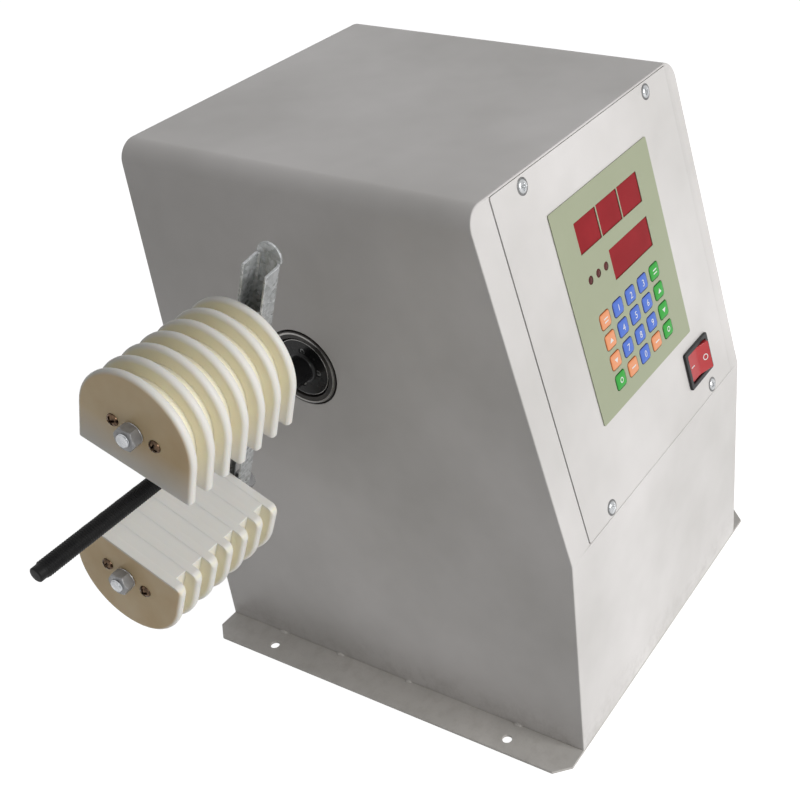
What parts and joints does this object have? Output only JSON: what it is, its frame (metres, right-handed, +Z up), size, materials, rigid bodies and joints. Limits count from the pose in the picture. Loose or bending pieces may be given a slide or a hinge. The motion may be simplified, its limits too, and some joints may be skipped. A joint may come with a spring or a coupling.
{
  "type": "wire coil winding machine",
  "caption": "Benchtop coil winder: folded steel housing with a sloping keypad panel, and a belt-driven spindle turning a slotted rail with two sliding grooved half-round formers.",
  "frame": {"origin": "centre of the base plate's underside, on the bench", "axes": "+Z up, -Y towards the operator, -X out of the side where the coil is wound"},
  "size_m": [0.488, 0.3052, 0.38],
  "materials": {
    "housing_paint": "off-white gloss powder coat",
    "base_paint": "off-white powder coat, a shade duller",
    "overlay_film": "sage green printed film",
    "red_filter": "dark red transparent display filter",
    "circuit_board": "green circuit board with its parts",
    "black_plastic": "black moulded plastic",
    "rocker_red": "bright red gloss plastic",
    "motor_enamel": "dark grey enamelled iron",
    "steel": "turned steel",
    "belt_rubber": "black belt rubber",
    "copper_winding": "varnished copper winding on a laminated core",
    "black_steel": "blackened steel",
    "cast_aluminium": "turned aluminium",
    "zinc": "galvanised steel with a spangle",
    "former_nylon": "ivory nylon, cut from sheet",
    "key_blue": "blue domed key",
    "key_green": "green domed key",
    "key_orange": "orange domed key"
  },
  "bodies": {
    "housing": {"base_plate": "base_paint", "bearing_block": "motor_enamel", "control_board": "circuit_board", "control_panel": "housing_paint", "cover": "housing_paint", "display_board": "circuit_board", "display_filter": "red_filter", "drive_belt": "belt_rubber", "front_bearing": "steel", "keypad_overlay": "overlay_film", "motor": "motor_enamel", "motor_bracket": "motor_enamel", "pedal_socket": "steel", "power_inlet": "black_plastic", "rear_bearing": "steel", "rear_panel": "housing_paint", "switch_bezel": "black_plastic", "transformer": "copper_winding"},
    "spindle": {"spindle": "black_steel", "spindle_pulley": "cast_aluminium", "head_rail": "zinc", "centre_rod": "black_steel"},
    "upper_former": {"upper_plate_1": "former_nylon", "upper_plate_2": "former_nylon", "upper_plate_3": "former_nylon", "upper_plate_4": "former_nylon", "upper_plate_5": "former_nylon", "upper_plate_6": "former_nylon", "upper_plate_7": "former_nylon", "upper_stud": "zinc"},
    "lower_former": {"lower_plate_1": "former_nylon", "lower_plate_2": "former_nylon", "lower_plate_3": "former_nylon", "lower_plate_4": "former_nylon", "lower_plate_5": "former_nylon", "lower_plate_6": "former_nylon", "lower_plate_7": "former_nylon", "lower_stud": "zinc"},
    "motor_shaft": {"motor_pulley": "steel"},
    "power_rocker": {"switch_rocker": "rocker_red"},
    "button_1_1": {"key_1_1": "key_orange"},
    "button_1_2": {"key_1_2": "key_blue"},
    "button_1_3": {"key_1_3": "key_blue"},
    "button_1_4": {"key_1_4": "key_blue"},
    "button_1_5": {"key_1_5": "key_green"},
    "button_2_1": {"key_2_1": "key_orange"},
    "button_2_2": {"key_2_2": "key_blue"},
    "button_2_3": {"key_2_3": "key_blue"},
    "button_2_4": {"key_2_4": "key_blue"},
    "button_2_5": {"key_2_5": "key_green"},
    "button_3_1": {"key_3_1": "key_orange"},
    "button_3_2": {"key_3_2": "key_blue"},
    "button_3_3": {"key_3_3": "key_blue"},
    "button_3_4": {"key_3_4": "key_blue"},
    "button_3_5": {"key_3_5": "key_green"},
    "button_4_1": {"key_4_1": "key_green"},
    "button_4_2": {"key_4_2": "key_orange"},
    "button_4_3": {"key_4_3": "key_blue"},
    "button_4_4": {"key_4_4": "key_orange"},
    "button_4_5": {"key_4_5": "key_green"}
  },
  "joints": [
    {"name": "spindle_spin", "type": "hinge", "parent": "housing", "child": "spindle", "pos_m": [-0.125, 0.0343, 0.251], "axis": [1, 0, 0], "continuous": true},
    {"name": "motor_spin", "type": "hinge", "parent": "housing", "child": "motor_shaft", "pos_m": [-0.125, 0.0343, 0.081], "axis": [1, 0, 0], "continuous": true},
    {"name": "upper_former_slide", "type": "slide", "parent": "spindle", "child": "upper_former", "axis": [0, -0.3437, 0.9391], "range_m": [-0.019, 0.017]},
    {"name": "lower_former_slide", "type": "slide", "parent": "spindle", "child": "lower_former", "axis": [0, 0.3437, -0.9391], "range_m": [-0.038, 0.005]},
    {"name": "power_rocker_tilt", "type": "hinge", "parent": "housing", "child": "power_rocker", "pos_m": [0.06925, -0.13987, 0.18956], "axis": [0, 0.2249, 0.9744], "range_deg": [0, 22]},
    {"name": "key_1_1_press", "type": "slide", "parent": "housing", "child": "button_1_1", "axis": [0, 0.9744, -0.2249], "range_m": [0, 0.0004], "stiffness_N_per_m": 30},
    {"name": "key_1_2_press", "type": "slide", "parent": "housing", "child": "button_1_2", "axis": [0, 0.9744, -0.2249], "range_m": [0, 0.0004], "stiffness_N_per_m": 30},
    {"name": "key_1_3_press", "type": "slide", "parent": "housing", "child": "button_1_3", "axis": [0, 0.9744, -0.2249], "range_m": [0, 0.0004], "stiffness_N_per_m": 30},
    {"name": "key_1_4_press", "type": "slide", "parent": "housing", "child": "button_1_4", "axis": [0, 0.9744, -0.2249], "range_m": [0, 0.0004], "stiffness_N_per_m": 30},
    {"name": "key_1_5_press", "type": "slide", "parent": "housing", "child": "button_1_5", "axis": [0, 0.9744, -0.2249], "range_m": [0, 0.0004], "stiffness_N_per_m": 30},
    {"name": "key_2_1_press", "type": "slide", "parent": "housing", "child": "button_2_1", "axis": [0, 0.9744, -0.2249], "range_m": [0, 0.0004], "stiffness_N_per_m": 30},
    {"name": "key_2_2_press", "type": "slide", "parent": "housing", "child": "button_2_2", "axis": [0, 0.9744, -0.2249], "range_m": [0, 0.0004], "stiffness_N_per_m": 30},
    {"name": "key_2_3_press", "type": "slide", "parent": "housing", "child": "button_2_3", "axis": [0, 0.9744, -0.2249], "range_m": [0, 0.0004], "stiffness_N_per_m": 30},
    {"name": "key_2_4_press", "type": "slide", "parent": "housing", "child": "button_2_4", "axis": [0, 0.9744, -0.2249], "range_m": [0, 0.0004], "stiffness_N_per_m": 30},
    {"name": "key_2_5_press", "type": "slide", "parent": "housing", "child": "button_2_5", "axis": [0, 0.9744, -0.2249], "range_m": [0, 0.0004], "stiffness_N_per_m": 30},
    {"name": "key_3_1_press", "type": "slide", "parent": "housing", "child": "button_3_1", "axis": [0, 0.9744, -0.2249], "range_m": [0, 0.0004], "stiffness_N_per_m": 30},
    {"name": "key_3_2_press", "type": "slide", "parent": "housing", "child": "button_3_2", "axis": [0, 0.9744, -0.2249], "range_m": [0, 0.0004], "stiffness_N_per_m": 30},
    {"name": "key_3_3_press", "type": "slide", "parent": "housing", "child": "button_3_3", "axis": [0, 0.9744, -0.2249], "range_m": [0, 0.0004], "stiffness_N_per_m": 30},
    {"name": "key_3_4_press", "type": "slide", "parent": "housing", "child": "button_3_4", "axis": [0, 0.9744, -0.2249], "range_m": [0, 0.0004], "stiffness_N_per_m": 30},
    {"name": "key_3_5_press", "type": "slide", "parent": "housing", "child": "button_3_5", "axis": [0, 0.9744, -0.2249], "range_m": [0, 0.0004], "stiffness_N_per_m": 30},
    {"name": "key_4_1_press", "type": "slide", "parent": "housing", "child": "button_4_1", "axis": [0, 0.9744, -0.2249], "range_m": [0, 0.0004], "stiffness_N_per_m": 30},
    {"name": "key_4_2_press", "type": "slide", "parent": "housing", "child": "button_4_2", "axis": [0, 0.9744, -0.2249], "range_m": [0, 0.0004], "stiffness_N_per_m": 30},
    {"name": "key_4_3_press", "type": "slide", "parent": "housing", "child": "button_4_3", "axis": [0, 0.9744, -0.2249], "range_m": [0, 0.0004], "stiffness_N_per_m": 30},
    {"name": "key_4_4_press", "type": "slide", "parent": "housing", "child": "button_4_4", "axis": [0, 0.9744, -0.2249], "range_m": [0, 0.0004], "stiffness_N_per_m": 30},
    {"name": "key_4_5_press", "type": "slide", "parent": "housing", "child": "button_4_5", "axis": [0, 0.9744, -0.2249], "range_m": [0, 0.0004], "stiffness_N_per_m": 30}
  ],
  "couplings": [
    {"joint": "motor_spin", "follows": "spindle_spin", "ratio": 2.5}
  ]
}
